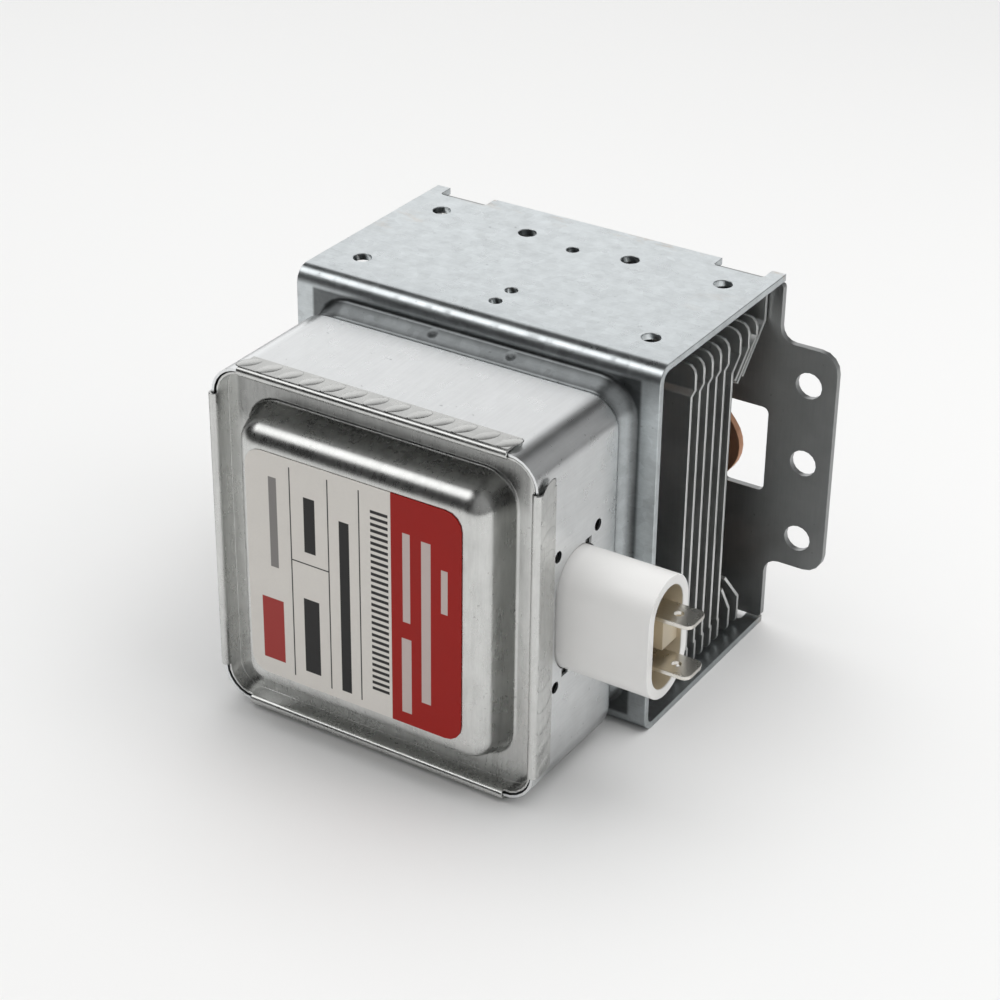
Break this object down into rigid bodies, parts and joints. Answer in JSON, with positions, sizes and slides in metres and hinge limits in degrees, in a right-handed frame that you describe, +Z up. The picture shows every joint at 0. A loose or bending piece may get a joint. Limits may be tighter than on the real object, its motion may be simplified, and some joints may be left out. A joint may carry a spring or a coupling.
{
  "type": "magnetron",
  "caption": "Packaged cavity magnetron: folded steel yoke with cooling fins, magnets and an anode tube, boxed filter with a side plug in front, drilled mounting plate and antenna behind",
  "frame": {"origin": "middle of the yoke's flat underside, on which the magnetron stands", "axes": "+X across the yoke towards the plug, +Y along the tube towards the antenna, +Z up"},
  "size_m": [0.113, 0.1127, 0.0783],
  "materials": {
    "galvanised_steel": "galvanised, fine grain",
    "plate_steel": "rolled sheet",
    "lid_steel": "rolled sheet, crimped rim",
    "label_paper": "printed film, satin",
    "fin_aluminium": "rolled sheet",
    "copper": "bare copper",
    "ferrite": "sintered, matt",
    "pole_steel": "nickel plated",
    "alumina": "fired, matt",
    "lead_metal": "drawn wire",
    "filament_metal": "drawn wire",
    "gasket_mesh": "knitted wire",
    "plug_plastic": "moulded",
    "capacitor_resin": "cast resin",
    "tinned_brass": "tin plated",
    "enamelled_copper": "enamelled wire"
  },
  "bodies": {
    "root": {"yoke_frame": "galvanised_steel", "mounting_plate": "plate_steel", "filter_box": "galvanised_steel", "filter_lid": "lid_steel", "front_label": "label_paper", "cooling_fin_1": "fin_aluminium", "cooling_fin_2": "fin_aluminium", "cooling_fin_3": "fin_aluminium", "cooling_fin_4": "fin_aluminium", "cooling_fin_5": "fin_aluminium", "cooling_fin_6": "fin_aluminium", "cooling_fin_7": "fin_aluminium", "cooling_fin_8": "fin_aluminium", "air_guide": "fin_aluminium", "anode_block": "copper", "front_inner_strap": "copper", "front_outer_strap": "copper", "rear_inner_strap": "copper", "rear_outer_strap": "copper", "front_pole_piece": "pole_steel", "rear_pole_piece": "pole_steel", "cathode_end_seal": "pole_steel", "antenna_end_seal": "pole_steel", "cathode_stem_ceramic": "alumina", "antenna_ceramic": "alumina", "antenna_cap": "pole_steel", "antenna_rod": "copper", "front_magnet": "ferrite", "rear_magnet": "ferrite", "magnet_retainer": "copper", "rf_gasket": "gasket_mesh", "front_end_hat": "lead_metal", "rear_end_hat": "lead_metal", "centre_lead": "lead_metal", "side_lead": "lead_metal", "cathode_filament": "filament_metal", "centre_stem_terminal": "tinned_brass", "side_stem_terminal": "tinned_brass", "connector_housing": "plug_plastic", "capacitor_flange": "galvanised_steel", "capacitor_body": "capacitor_resin", "upper_terminal_tab": "tinned_brass", "lower_terminal_tab": "tinned_brass", "upper_choke_coil": "enamelled_copper", "lower_choke_coil": "enamelled_copper", "upper_choke_core": "ferrite", "lower_choke_core": "ferrite"}
  },
  "joints": []
}
